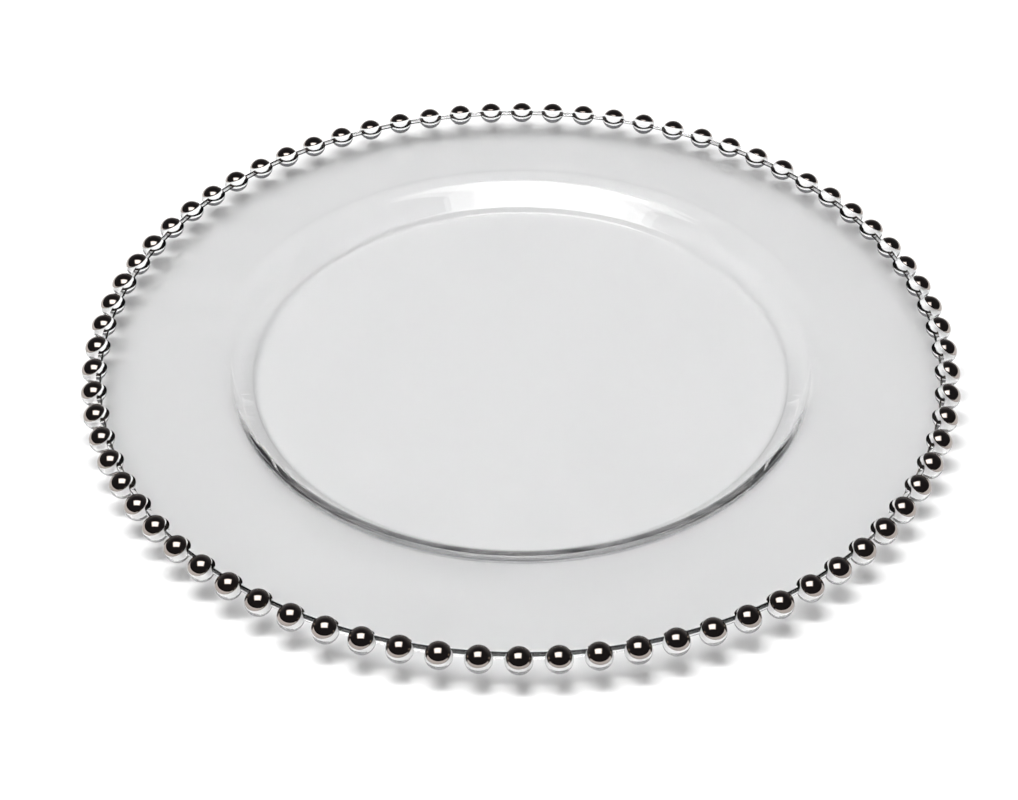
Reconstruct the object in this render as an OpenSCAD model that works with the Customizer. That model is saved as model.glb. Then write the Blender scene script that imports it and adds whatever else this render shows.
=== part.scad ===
// Charger plate of clear pressed glass: a flat well, a curved step, a broad
// nearly level rim and a row of glass beads round the edge, each silvered over
// its upper side. Millimetres, +Z up, the base rests on z = 0.

/* [Well] */
// Diameter of the well, out to the corner where its floor meets the step
well_d = 201.5; // [186:0.5:208]
// Thickness of the glass in the floor of the well
floor_t = 4.6; // [4.2:0.1:5.3]
// Height of the rim's inner end above the floor of the well
well_depth = 9.4; // [8.6:0.1:10.4]
// Radius of the inside corner round the floor of the well
well_corner_r = 4.8; // [3:0.1:6]
// Slope of the step from the well up to the rim, in degrees
step_slope = 42.3; // [40:0.1:45]
// Radius of the shoulder where the step turns into the rim
shoulder_r = 16.7; // [12:0.1:18]

/* [Rim] */
// Diameter of the plate at its edge, without the beads
plate_d = 318.4; // [300:0.2:340]
// Rise of the rim from the shoulder out to the edge
rim_rise = 0.7; // [0:0.1:1.5]
// Thickness of the glass in the rim
rim_t = 2.75; // [2.5:0.05:3.4]
// Thickness of the glass at the edge
edge_t = 4.4; // [3.8:0.1:5]
// Width of the band along the edge in which the glass thickens
edge_band = 5.7; // [4:0.1:8]
// Radius of the two rounded corners of the edge
edge_r = 1.8; // [0.8:0.1:1.8]

/* [Underside] */
// Distance from the well's corner in to the corner of the face it stands on
foot_in = 0.35; // [0:0.05:1.5]
// Radius of the corner round the face that the plate stands on
foot_corner_r = 7.5; // [4:0.1:8.5]
// Slope of the underside of the step, in degrees
under_slope = 41; // [39:0.1:43]
// Radius of the hollow where the step turns into the underside of the rim
hollow_r = 10.6; // [7:0.1:12]

/* [Beads] */
// Number of beads round the edge
bead_count = 76; // [60:1:80]
// Diameter of one bead
bead_d = 9.6; // [8.4:0.1:10.5]
// Distance from the plate's edge out to the ring of bead centres
bead_out = 0.8; // [0:0.1:2]
// Distance from the middle of the edge down to the ring of bead centres
bead_drop = 0.7; // [0:0.05:1]

/* [Silvered caps] */
// Thickness of the silver coat on a bead
silver_t = 0.2; // [0.15:0.05:0.4]
// Angle from a cap's middle to its edge, in degrees
cap_reach = 62; // [50:1:65]
// Angle of a cap's middle above the horizontal, in degrees
cap_tilt = 72; // [64:1:76]

/* [Hidden] */

// Smoothness of the revolved plate, of the beads and of the drawn arcs
plate_fn = 240;
bead_fn = 96;
arc_steps = 8;

// Direction of the vector v, in degrees
function heading(v) = atan2(v.y, v.x);

// The turn from direction a0 to direction a1 by the shorter way round
function turn(a0, a1) = (a1 - a0 + 540) % 360 - 180;

// Points that round the corner p1, between p0 and p2, to the radius r
function round_corner(p0, p1, p2, r) =
    let (
        a = (p0 - p1) / norm(p0 - p1),
        b = (p2 - p1) / norm(p2 - p1),
        half = acos(a * b) / 2,
        c = p1 + (a + b) / norm(a + b) * r / sin(half),
        a0 = heading(p1 + a * r / tan(half) - c),
        a1 = heading(p1 + b * r / tan(half) - c)
    )
    [for (i = [0 : arc_steps])
        let (d = a0 + turn(a0, a1) * i / arc_steps)
        [c.x + r * cos(d), c.y + r * sin(d)]];

// Corners of the glass in section, each a point and the radius that rounds it
edge_x = plate_d / 2;
rim_z = floor_t + well_depth;
edge_z = rim_z + rim_rise;
shoulder = [well_d / 2 + well_depth / tan(step_slope), rim_z];
rim_slope = rim_rise / (edge_x - shoulder.x);

// The underside of the rim is a line parallel to its top, rim_t lower
band_start = [edge_x - edge_band, edge_z - rim_slope * edge_band - rim_t];
foot_x = well_d / 2 - foot_in;
hollow_run = band_start.x - foot_x;
hollow_x = (band_start.y - rim_slope * hollow_run) / (tan(under_slope) - rim_slope);
hollow = [foot_x + hollow_x, hollow_x * tan(under_slope)];

CORNERS = [
    [[well_d / 2, floor_t], well_corner_r],
    [shoulder, shoulder_r],
    [[edge_x, edge_z], edge_r],
    [[edge_x, edge_z - edge_t], edge_r],
    [band_start, 0],
    [hollow, hollow_r],
    [[foot_x, 0], foot_corner_r]
];
AXIS_TOP = [0, floor_t];
AXIS_BASE = [0, 0];

// The corner i of the section, or an end of it on the axis
function corner(i) =
    i < 0 ? AXIS_TOP : i >= len(CORNERS) ? AXIS_BASE : CORNERS[i][0];

// The ring of bead centres, just outside the edge
bead_c = [edge_x + bead_out, edge_z - edge_t / 2 - bead_drop];
cap_plane = bead_d / 2 * cos(cap_reach);

module plate_solid() {
    rotate_extrude($fn = plate_fn)
        polygon(concat(
            [AXIS_TOP],
            [for (i = [0 : len(CORNERS) - 1])
                each CORNERS[i][1] > 0
                    ? round_corner(corner(i - 1), corner(i), corner(i + 1), CORNERS[i][1])
                    : [corner(i)]],
            [AXIS_BASE]
        ));
}

// Puts its children at each bead, with +X pointing away from the plate
module at_each_bead() {
    for (i = [0 : bead_count - 1])
        rotate([0, 0, 360 * i / bead_count])
            translate([bead_c.x, 0, bead_c.y])
                children();
}

module glass_plate() {
    color("lightcyan", 0.5)
        plate_solid();
}

// Glass balls, each notched where the plate's edge runs into it
module rim_beads() {
    color("paleturquoise", 0.6)
        difference() {
            at_each_bead()
                sphere(d = bead_d, $fn = bead_fn);
            plate_solid();
        }
}

// Silver coats over the top of each bead, turned outward a little
module bead_caps() {
    color("silver")
        at_each_bead()
            intersection() {
                difference() {
                    sphere(d = bead_d + 2 * silver_t, $fn = bead_fn);
                    sphere(d = bead_d, $fn = bead_fn);
                }
                rotate([0, 90 - cap_tilt, 0])
                    translate([0, 0, cap_plane])
                        cylinder(d = 2 * bead_d, h = bead_d, $fn = bead_fn);
            }
}

glass_plate();
rim_beads();
bead_caps();
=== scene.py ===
import math

import bmesh
import bpy
import numpy as np
from mathutils import Matrix, Vector


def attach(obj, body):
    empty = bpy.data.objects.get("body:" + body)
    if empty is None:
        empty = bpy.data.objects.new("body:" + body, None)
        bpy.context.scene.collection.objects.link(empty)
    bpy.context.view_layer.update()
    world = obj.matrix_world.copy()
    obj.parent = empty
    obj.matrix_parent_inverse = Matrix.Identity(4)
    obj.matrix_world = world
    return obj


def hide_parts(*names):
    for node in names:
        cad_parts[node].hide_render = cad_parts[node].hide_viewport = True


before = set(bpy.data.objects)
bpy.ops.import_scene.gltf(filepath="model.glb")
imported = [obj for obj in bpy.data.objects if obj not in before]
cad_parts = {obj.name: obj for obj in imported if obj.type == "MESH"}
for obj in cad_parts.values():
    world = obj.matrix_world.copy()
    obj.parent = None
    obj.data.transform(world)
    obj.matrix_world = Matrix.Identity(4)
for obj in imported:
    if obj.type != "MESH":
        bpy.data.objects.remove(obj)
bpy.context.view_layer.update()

# Shapes and the camera are worked out in millimetres
MM = 0.001

# ---------------------------------------------------------------- the glass

# The beads, as in the CAD source: how many, their radius, and the radius and
# the height of the ring of their centres
BEAD_COUNT = 76
BEAD_R = 4.8
BEAD_RING = 160.0
BEAD_Z = 11.8

# Corners of the glass section (r, z) with their fillet radii, from the middle
# of the upper side round to the middle of the underside
SECTION = [
    ((0, 4.8), 0),            # middle of the well's floor
    ((101.0, 4.8), 3.4),      # foot of the step
    ((111.08, 14.0), 16.7),   # shoulder, where the step turns into the rim
    ((159.2, 14.7), 1.2),     # upper corner of the edge
    ((159.2, 10.0), 0.9),     # lower corner of the edge
    ((157.2, 11.77), 0.6),    # inner end of the thicker edge
    ((113.16, 11.1), 10.6),   # hollow under the shoulder
    ((100.6, 0), 6.5),        # corner of the face that the plate stands on
    ((0, 0), 0),              # middle of the underside
]

# Longest straight step along the section, widest turn between its points, and
# the fewest steps in a fillet
STRAIGHT_STEP = 12
ARC_STEP = math.radians(3)
FEWEST_ARC_STEPS = 3
# Lengths under this one count as none
TINY = 1e-6

# Steps round the plate, 8 for each bead
SEGMENTS = 608
# Turn of a bead's meridians, as a share of the step between two of them. It
# keeps them off the plate's own lines, where the two forms are fused
MERIDIAN_SHIFT = 0.37


def filleted(corners):
    """The path through the corners with its fillets, as rows (r, z, normal r, normal z)."""
    p = [np.array(c, float) for c, _ in corners]
    out = []

    def left(d):
        d = d / np.linalg.norm(d)
        return np.array([-d[1], d[0]])

    def add(q, n):
        if not out or np.hypot(q[0] - out[-1][0], q[1] - out[-1][1]) > TINY:
            out.append((q[0], q[1], n[0], n[1]))

    def straight(q0, q1, n):
        steps = max(1, math.ceil(np.linalg.norm(q1 - q0) / STRAIGHT_STEP))
        for k in range(steps + 1):
            add(q0 + (q1 - q0) * k / steps, n)

    here = p[0]
    for i in range(1, len(p) - 1):
        n0, n1 = left(p[i] - p[i - 1]), left(p[i + 1] - p[i])
        turn = math.atan2(n0[0] * n1[1] - n0[1] * n1[0], n0 @ n1)
        r = corners[i][1]
        reach = r * math.tan(abs(turn) / 2)
        start = p[i] - (p[i] - p[i - 1]) / np.linalg.norm(p[i] - p[i - 1]) * reach
        straight(here, start, n0)
        side = 1 if turn < 0 else -1
        centre = start - n0 * r * side
        a0 = math.atan2(n0[1], n0[0])
        steps = max(FEWEST_ARC_STEPS, math.ceil(abs(turn) / ARC_STEP))
        for k in range(1, steps + 1):
            a = a0 + turn * k / steps
            n = np.array([math.cos(a), math.sin(a)])
            add(centre + n * r * side, n)
        here = centre + n1 * r * side
    straight(here, p[-1], left(p[-1] - p[-2]))
    return np.array(out)


PROFILE = filleted(SECTION)


def mesh_from(name, verts, faces):
    mesh = bpy.data.meshes.new(name)
    mesh.from_pydata([tuple(v) for v in np.asarray(verts) * MM], [], faces)
    mesh.validate()
    mesh.update()
    return mesh


def placed(name, data):
    """A new object of the data, linked into the scene."""
    o = bpy.data.objects.new(name, data)
    bpy.context.scene.collection.objects.link(o)
    return o


def closed_faces(base, rings, around):
    """Faces of a closed form, its points numbered from base: a pole, the rings and a pole."""
    faces = []
    last = base + 1 + rings * around
    for s in range(around):
        n = (s + 1) % around
        faces.append((base, base + 1 + s, base + 1 + n))
        for k in range(rings - 1):
            p, q = base + 1 + k * around, base + 1 + (k + 1) * around
            faces.append((p + s, q + s, q + n, p + n))
        p = base + 1 + (rings - 1) * around
        faces.append((p + s, last, p + n))
    return faces


def plate_mesh():
    rings = PROFILE[1:-1]
    a = np.arange(SEGMENTS) * 2 * math.pi / SEGMENTS
    verts = [(0, 0, PROFILE[0][1])]
    for r, z, _, _ in rings:
        verts += [(r * math.cos(t), r * math.sin(t), z) for t in a]
    verts.append((0, 0, PROFILE[-1][1]))
    return mesh_from("plate", verts, closed_faces(0, len(rings), SEGMENTS))


def bead_centres():
    a = np.arange(BEAD_COUNT) * 2 * math.pi / BEAD_COUNT
    z = np.full(BEAD_COUNT, BEAD_Z)
    return np.stack([BEAD_RING * np.cos(a), BEAD_RING * np.sin(a), z], axis=1)


def beads_mesh(rings=28, around=56):
    verts, faces = [], []
    for x, y, z in bead_centres():
        base = len(verts)
        verts.append((x, y, z + BEAD_R))
        for k in range(1, rings):
            p = math.pi * k / rings
            for s in range(around):
                t = 2 * math.pi * (s + MERIDIAN_SHIFT) / around
                verts.append((x + BEAD_R * math.sin(p) * math.cos(t),
                              y + BEAD_R * math.sin(p) * math.sin(t),
                              z + BEAD_R * math.cos(p)))
        verts.append((x, y, z - BEAD_R))
        faces += closed_faces(base, rings - 1, around)
    return mesh_from("beads", verts, faces)


def section_normals(r, z):
    """Normals of the section at points on it, blended along its nearest segment."""
    a, b = PROFILE[:-1, :2], PROFILE[1:, :2]
    na, nb = PROFILE[:-1, 2:], PROFILE[1:, 2:]
    ab = b - a
    l2 = (ab ** 2).sum(axis=1)
    best = np.full(len(r), np.inf)
    out = np.zeros((len(r), 2))
    for i in range(len(a)):
        t = np.clip(((r - a[i, 0]) * ab[i, 0] + (z - a[i, 1]) * ab[i, 1]) / l2[i], 0, 1)
        d = (r - a[i, 0] - t * ab[i, 0]) ** 2 + (z - a[i, 1] - t * ab[i, 1]) ** 2
        n = na[i] + (nb[i] - na[i]) * t[:, None]
        hit = d < best
        best[hit], out[hit] = d[hit], n[hit]
    return out / np.linalg.norm(out, axis=1)[:, None]


def read_all(items, name, kind, width=1):
    """One attribute of all the items of a mesh, as an array."""
    out = np.zeros(len(items) * width, dtype=kind)
    items.foreach_get(name, out)
    return out


def corner_normals(mesh):
    """Normals for the face corners of the fused glass: the section's on the
    plate and a ball's on the beads, whose faces are in the second slot."""
    slots = read_all(mesh.polygons, "material_index", np.int32)
    sizes = read_all(mesh.polygons, "loop_total", np.int32)
    on_bead = np.repeat(slots, sizes) == 1
    points = read_all(mesh.vertices, "co", float, 3).reshape(-1, 3) / MM
    p = points[read_all(mesh.loops, "vertex_index", np.int32)]
    r = np.hypot(p[:, 0], p[:, 1])
    nr, nz = section_normals(r, p[:, 2]).T
    safe = np.where(r > TINY, r, 1)
    normals = np.stack([nr * p[:, 0] / safe, nr * p[:, 1] / safe, nz], axis=1)
    step = 2 * math.pi / BEAD_COUNT
    nearest = np.round(np.arctan2(p[:, 1], p[:, 0]) / step).astype(int) % BEAD_COUNT
    ball = p - bead_centres()[nearest]
    ball /= np.linalg.norm(ball, axis=1)[:, None]
    normals[on_bead] = ball[on_bead]
    return [tuple(n) for n in normals]


def fused_glass(materials):
    """The plate and its beads as one pressing, with the beads' faces in the second slot."""
    plate = placed("plate_tmp", plate_mesh())
    beads = placed("beads_tmp", beads_mesh())
    for o in (plate, beads):
        for material in materials:
            o.data.materials.append(material)
    slots = np.ones(len(beads.data.polygons), dtype=np.int32)
    beads.data.polygons.foreach_set("material_index", slots)
    fuse = plate.modifiers.new("fuse", "BOOLEAN")
    fuse.operation = "UNION"
    fuse.solver = "MANIFOLD"
    fuse.object = beads
    depsgraph = bpy.context.evaluated_depsgraph_get()
    mesh = bpy.data.meshes.new_from_object(plate.evaluated_get(depsgraph))
    for o in (plate, beads):
        old = o.data
        bpy.data.objects.remove(o)
        bpy.data.meshes.remove(old)
    mesh.name = "glass_pressing"
    for f in mesh.polygons:
        f.use_smooth = True
    mesh.normals_split_custom_set(corner_normals(mesh))
    mesh.update()
    return mesh


# ---------------------------------------------------------------- the silver

# Where a cap ends at each direction round the plate, 0 at its right and 90 at
# its back, in degrees above the horizontal: on its outward side, and beyond
# its top on the side of the plate
CAP_LOW = [
    (-90, 10), (-45, 6), (0, -3), (45, 2), (90, 9),
    (135, 8), (180, 5), (225, 7), (270, 10),
]
CAP_HIGH = [
    (-90, 137), (-37, 130), (0, 116), (40, 119), (90, 127),
    (140, 131), (180, 131), (225, 134), (270, 137),
]

# The caps differ a little: how far their ends stray, in degrees, and the waves
# in their edges. A wave's height is drawn from WAVE_HEIGHT, in degrees, times
# its share, and the first wave goes FIRST_WAVE times round, the next once more
CAP_SEED = 7
CAP_STRAY = 1.5
WAVE_HEIGHT = (0.2, 0.7)
WAVE_SHARES = np.array([1.0, 0.8, 0.6, 0.5])
FIRST_WAVE = 2

# Heights over the bead's surface, in millimetres: the coat's face, its least
# near its edge, its edge and its inner face, and the width that it thins over
COAT_FACE = 0.08
COAT_LEAST = 0.012
COAT_EDGE = -0.005
COAT_INNER = -0.03
COAT_BEVEL = 0.25


def between(table, a):
    """The value at a, eased between the rows of the table."""
    for (a0, v0), (a1, v1) in zip(table, table[1:]):
        if a0 <= a <= a1:
            t = (a - a0) / (a1 - a0)
            t = t * t * (3 - 2 * t)
            return v0 + (v1 - v0) * t
    return table[-1][1]


def coat_height(outer, s, reach):
    """The coat's height at the share s of the way from its middle to its edge."""
    if not outer:
        return COAT_INNER
    if s == 1:
        return COAT_EDGE
    thinning = min(1.0, (1 - s) * reach * BEAD_R / COAT_BEVEL)
    return max(COAT_FACE * thinning, COAT_LEAST)


def caps_mesh(rings=16, around=60):
    rng = np.random.RandomState(CAP_SEED)
    waves = len(WAVE_SHARES)
    verts, faces = [], []
    for i, c in enumerate(bead_centres()):
        az = 2 * math.pi * i / BEAD_COUNT
        deg = math.degrees(az)
        deg = deg - 360 if deg > 270 else deg
        high = between(CAP_HIGH, deg) + rng.uniform(-CAP_STRAY, CAP_STRAY)
        low = between(CAP_LOW, deg) + rng.uniform(-CAP_STRAY, CAP_STRAY)
        tilt, reach = math.radians((high + low) / 2), math.radians((high - low) / 2)
        out = np.array([math.cos(az), math.sin(az), 0])
        side = np.array([-math.sin(az), math.cos(az), 0])
        up = np.array([0, 0, 1.0])
        # The axis goes through the cap's middle, and u and side lie across it
        axis = out * math.cos(tilt) + up * math.sin(tilt)
        u = -out * math.sin(tilt) + up * math.cos(tilt)
        phase = rng.uniform(0, 2 * math.pi, waves)
        amp = rng.uniform(*WAVE_HEIGHT, waves) * WAVE_SHARES

        def edge(f):
            return reach + math.radians(sum(
                amp[k] * math.sin((k + FIRST_WAVE) * f + phase[k]) for k in range(waves)))

        edges = []
        for outer in (True, False):
            top = len(verts)
            verts.append(tuple(c + axis * (BEAD_R + coat_height(outer, 0, reach))))
            rows = []
            for k in range(1, rings + 1):
                s = k / rings
                rows.append(range(len(verts), len(verts) + around))
                for j in range(around):
                    f = 2 * math.pi * j / around
                    a = edge(f) * s
                    d = axis * math.cos(a) + (u * math.cos(f) + side * math.sin(f)) * math.sin(a)
                    verts.append(tuple(c + d * (BEAD_R + coat_height(outer, s, reach))))
            edges.append(rows[-1])
            for j in range(around):
                n = (j + 1) % around
                new = [(top, rows[0][n], rows[0][j])]
                new += [(r0[j], r0[n], r1[n], r1[j]) for r0, r1 in zip(rows, rows[1:])]
                faces += new if outer else [face[::-1] for face in new]
        for j in range(around):
            n = (j + 1) % around
            faces.append((edges[0][j], edges[0][n], edges[1][n], edges[1][j]))
    mesh = mesh_from("silver_caps", verts, faces)
    bm = bmesh.new()
    bm.from_mesh(mesh)
    bmesh.ops.recalc_face_normals(bm, faces=bm.faces)
    for f in bm.faces:
        f.smooth = True
    bm.to_mesh(mesh)
    bm.free()
    return mesh


# ---------------------------------------------------------------- materials

# Clear glass with a faint haze in its roughness and slow waves in its surface
GLASS = {"Base Color": (0.93, 0.93, 0.93, 1), "Transmission Weight": 1, "IOR": 1.5}
HAZE = {"Scale": 90, "Detail": 3}
HAZE_FROM = (0.45, 0.8)
HAZE_ROUGHNESS = (0.0, 0.02)
SURFACE_WAVES = {"Scale": 45, "Detail": 1}
SURFACE_BUMP = {"Strength": 0.05, "Distance": 0.0002}

# Silver with blotches in its tone and its roughness
BLOTCHES = {"Scale": 260, "Detail": 4}
SILVER_TONES = ((0.31, 0.272, 0.247, 1), (0.35, 0.308, 0.283, 1))
SILVER_TONES_AT = (0.3, 0.7)
SILVER_ROUGHNESS = (0.02, 0.07)

# The table: its albedo with painted shade, darker at the front left and lighter
# at the back right to even out the lamps' light, which is stronger at the front
# left, at these places along the slant direction, and the glow that keeps its
# far parts white, at these distances from the plate's middle, in metres
FLOOR_ALBEDO_PAINTED_SHADE = (0.68, 0.93)
FLOOR_PAINTED_SHADE_FROM = (-0.16, 0.16)
FLOOR_PAINTED_SHADE_SLANT = (0.5, 0.96, 0)
FLOOR_GLOW = (0.12, 1.0)
FLOOR_GLOW_FROM = (0.18, 0.55)

# The room: dark, and lighter low down behind the plate. ROOM_LOW is the span
# of Z over which the light part fades out, and ROOM_BACK that of Y over which
# it comes in
ROOM_TONES = ((0.030, 0.0285, 0.031, 1), (0.25, 0.255, 0.27, 1))
ROOM_LOW = (0.0, 0.7)
ROOM_BACK = (0.25, 1.0)


def new_material(name):
    """An empty node material, with its nodes and the call that links them."""
    m = bpy.data.materials.new(name)
    m.use_nodes = True
    m.node_tree.nodes.clear()
    return m, m.node_tree.nodes, m.node_tree.links.new


def new_node(nodes, kind, inputs=None, **settings):
    """A new node with values on its inputs and in its own settings."""
    node = nodes.new(kind)
    for name, value in settings.items():
        setattr(node, name, value)
    for name, value in (inputs or {}).items():
        node.inputs[name].default_value = value
    return node


def map_range(nodes, source, target, **settings):
    ends = {"From Min": source[0], "From Max": source[1], "To Min": target[0], "To Max": target[1]}
    return new_node(nodes, "ShaderNodeMapRange", ends, **settings)


def ramp(nodes, tones, places=(0, 1)):
    node = nodes.new("ShaderNodeValToRGB")
    for element, tone, place in zip(node.color_ramp.elements, tones, places):
        element.position = place
        element.color = tone
    return node


def glass_material(name):
    m, n, link = new_material(name)
    out = new_node(n, "ShaderNodeOutputMaterial")
    glass = new_node(n, "ShaderNodeBsdfPrincipled", GLASS)
    coord = new_node(n, "ShaderNodeTexCoord")
    haze = new_node(n, "ShaderNodeTexNoise", HAZE)
    rough = map_range(n, HAZE_FROM, HAZE_ROUGHNESS)
    waves = new_node(n, "ShaderNodeTexNoise", SURFACE_WAVES)
    bump = new_node(n, "ShaderNodeBump", SURFACE_BUMP)
    link(coord.outputs["Object"], haze.inputs["Vector"])
    link(coord.outputs["Object"], waves.inputs["Vector"])
    link(haze.outputs["Fac"], rough.inputs["Value"])
    link(rough.outputs["Result"], glass.inputs["Roughness"])
    link(waves.outputs["Fac"], bump.inputs["Height"])
    link(bump.outputs["Normal"], glass.inputs["Normal"])
    link(glass.outputs[0], out.inputs["Surface"])
    return m


def silver_material():
    m, n, link = new_material("silver_lustre")
    out = new_node(n, "ShaderNodeOutputMaterial")
    metal = new_node(n, "ShaderNodeBsdfPrincipled", {"Metallic": 1})
    coord = new_node(n, "ShaderNodeTexCoord")
    blotches = new_node(n, "ShaderNodeTexNoise", BLOTCHES)
    tone = ramp(n, SILVER_TONES, SILVER_TONES_AT)
    rough = map_range(n, (0, 1), SILVER_ROUGHNESS)
    link(coord.outputs["Object"], blotches.inputs["Vector"])
    link(blotches.outputs["Fac"], tone.inputs["Fac"])
    link(blotches.outputs["Fac"], rough.inputs["Value"])
    link(tone.outputs["Color"], metal.inputs["Base Color"])
    link(rough.outputs["Result"], metal.inputs["Roughness"])
    link(metal.outputs[0], out.inputs["Surface"])
    return m


def floor_material():
    m, n, link = new_material("white_table")
    out = new_node(n, "ShaderNodeOutputMaterial")
    both = new_node(n, "ShaderNodeAddShader")
    link(both.outputs[0], out.inputs["Surface"])
    place = new_node(n, "ShaderNodeNewGeometry")

    # The albedo with painted shade, darker towards the front left, by the place along the slant
    base = new_node(n, "ShaderNodeBsdfDiffuse")
    painted_shade_slant = new_node(n, "ShaderNodeVectorMath", {1: FLOOR_PAINTED_SHADE_SLANT}, operation="DOT_PRODUCT")
    tone = map_range(n, FLOOR_PAINTED_SHADE_FROM, FLOOR_ALBEDO_PAINTED_SHADE)
    link(place.outputs["Position"], painted_shade_slant.inputs[0])
    link(painted_shade_slant.outputs["Value"], tone.inputs["Value"])
    link(tone.outputs["Result"], base.inputs["Color"])
    link(base.outputs[0], both.inputs[0])

    # The glow, by the distance, for what the camera, metal and glass see
    glow = new_node(n, "ShaderNodeEmission")
    far = new_node(n, "ShaderNodeVectorMath", operation="LENGTH")
    level = map_range(n, FLOOR_GLOW_FROM, FLOOR_GLOW, interpolation_type="SMOOTHSTEP")
    path = new_node(n, "ShaderNodeLightPath")
    seen = new_node(n, "ShaderNodeMath", operation="MAXIMUM")
    seen_through = new_node(n, "ShaderNodeMath", operation="MAXIMUM")
    strength = new_node(n, "ShaderNodeMath", operation="MULTIPLY")
    link(place.outputs["Position"], far.inputs[0])
    link(far.outputs["Value"], level.inputs["Value"])
    link(path.outputs["Is Camera Ray"], seen.inputs[0])
    link(path.outputs["Is Glossy Ray"], seen.inputs[1])
    link(seen.outputs[0], seen_through.inputs[0])
    link(path.outputs["Is Transmission Ray"], seen_through.inputs[1])
    link(seen_through.outputs[0], strength.inputs[0])
    link(level.outputs["Result"], strength.inputs[1])
    link(strength.outputs[0], glow.inputs["Strength"])
    link(glow.outputs[0], both.inputs[1])
    return m


def room_world():
    world = bpy.data.worlds.new("studio")
    world.use_nodes = True
    n, link = world.node_tree.nodes, world.node_tree.links.new
    n.clear()
    out = new_node(n, "ShaderNodeOutputWorld")
    background = new_node(n, "ShaderNodeBackground")
    coord = new_node(n, "ShaderNodeTexCoord")
    split = new_node(n, "ShaderNodeSeparateXYZ")
    low = map_range(n, ROOM_LOW, (1, 0))
    back = map_range(n, ROOM_BACK, (0, 1))
    low_behind = new_node(n, "ShaderNodeMath", operation="MULTIPLY")
    tone = ramp(n, ROOM_TONES)
    link(coord.outputs["Generated"], split.inputs[0])
    link(split.outputs["Z"], low.inputs["Value"])
    link(split.outputs["Y"], back.inputs["Value"])
    link(low.outputs["Result"], low_behind.inputs[0])
    link(back.outputs["Result"], low_behind.inputs[1])
    link(low_behind.outputs[0], tone.inputs["Fac"])
    link(tone.outputs["Color"], background.inputs["Color"])
    link(background.outputs[0], out.inputs["Surface"])
    return world


# ---------------------------------------------------------------- the pieces

glass_materials = [glass_material("clear_glass_plate"), glass_material("clear_glass_bead")]
glass = placed("glass_pressing", fused_glass(glass_materials))
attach(glass, "root")
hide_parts("glass_plate", "rim_beads")

caps = placed("silver_caps", caps_mesh())
caps.data.materials.append(silver_material())
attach(caps, "root")
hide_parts("bead_caps")

# ---------------------------------------------------------------- the stage

# Half the table's side, and its height, just under the face that the plate
# stands on, in metres
FLOOR_HALF = 15
FLOOR_Z = -0.0002

# The softbox, its brighter middle and the strip lamp in it: name, place and
# size in metres, radiance, and whether reflections show it
LAMPS = [
    ("softbox", (-0.12, -0.21, 0.85), (0.85, 0.68), 2.1, True),
    ("softbox_middle", (-0.12, -0.21, 0.849), (0.62, 0.5), 2.0, True),
    ("strip", (-0.135, -0.14, 0.848), (0.62, 0.14), 27.3, False),
]

floor_mesh = bpy.data.meshes.new("table")
floor_corners = [(x * FLOOR_HALF, y * FLOOR_HALF, FLOOR_Z)
                 for x, y in ((-1, -1), (1, -1), (1, 1), (-1, 1))]
floor_mesh.from_pydata(floor_corners, [], [(0, 1, 2, 3)])
floor = placed("table", floor_mesh)
floor.data.materials.append(floor_material())

for lamp_name, lamp_at, lamp_size, radiance, mirrored in LAMPS:
    lamp = bpy.data.lights.new(lamp_name, "AREA")
    lamp.shape = "RECTANGLE"
    lamp.size, lamp.size_y = lamp_size
    lamp.energy = radiance * math.pi * lamp_size[0] * lamp_size[1]
    lamp_object = placed(lamp_name, lamp)
    lamp_object.location = lamp_at
    lamp_object.visible_glossy = mirrored

scene = bpy.context.scene
scene.world = room_world()

# ---------------------------------------------------------------- the camera

# The camera fitted to the photograph's 76 beads: its distance from the frame's
# origin and the point that it looks at, in millimetres, its elevation, roll
# and turn round the plate, in radians, and its focal length in pixels
DIST, ELEV, ROLL, FOCAL, TURN = 903.26, 0.6972, -0.0024, 2366.77, 0.0023
AIM = Vector((-4.236, -29.168, 12.0))
PHOTO_WIDTH = 1018
SENSOR_WIDTH = 36

eye = Vector((0, -DIST * math.cos(ELEV), DIST * math.sin(ELEV)))
ahead = (AIM - eye).normalized()
right = ahead.cross(Vector((0, 0, 1))).normalized()
up = right.cross(ahead)
right, up = (right * math.cos(ROLL) + up * math.sin(ROLL),
             up * math.cos(ROLL) - right * math.sin(ROLL))
pose = Matrix((right, up, -ahead)).transposed().to_4x4()
pose.translation = eye * MM
cam_data = bpy.data.cameras.new("camera")
cam_data.sensor_fit = "HORIZONTAL"
cam_data.sensor_width = SENSOR_WIDTH
cam_data.lens = FOCAL * SENSOR_WIDTH / PHOTO_WIDTH
cam_data.clip_start, cam_data.clip_end = 0.05, 60
camera = placed("camera", cam_data)
camera.matrix_world = Matrix.Rotation(TURN, 4, "Z") @ pose
bpy.context.scene.camera = camera

scene.view_settings.view_transform = "Standard"
scene.cycles.caustics_reflective = True
scene.cycles.caustics_refractive = True
scene.cycles.max_bounces = 32
scene.cycles.transmission_bounces = 32
scene.cycles.glossy_bounces = 16
scene.cycles.diffuse_bounces = 4
scene.cycles.transparent_max_bounces = 32
